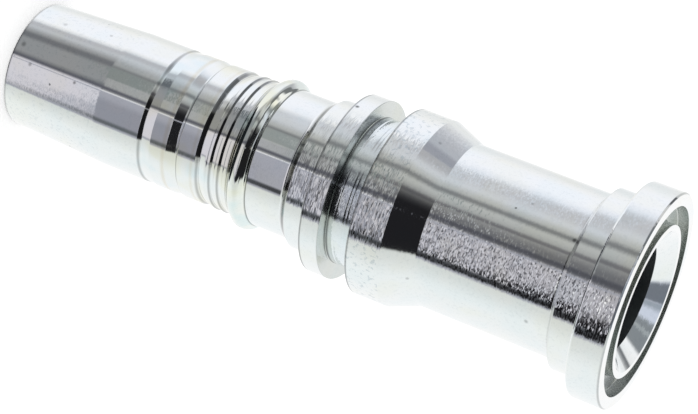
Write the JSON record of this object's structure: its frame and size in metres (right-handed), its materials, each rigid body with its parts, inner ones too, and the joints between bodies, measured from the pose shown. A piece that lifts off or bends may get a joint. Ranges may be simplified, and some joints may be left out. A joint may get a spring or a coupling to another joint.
{
  "type": "hydraulic hose flange insert",
  "caption": "One-piece turned steel hose insert with a grooved tail, a ferrule groove, a long neck and a flange head with an O-ring groove.",
  "frame": {"origin": "middle of the tail's end face, on which the fitting stands", "axes": "+Z along the bore axis, from the hose tail to the flange face"},
  "size_m": [0.0508, 0.0508, 0.1592],
  "materials": {
    "zinc_plated_steel": "bright zinc plate over turned steel"
  },
  "bodies": {
    "root": {"hose_fitting": "zinc_plated_steel"}
  },
  "joints": []
}
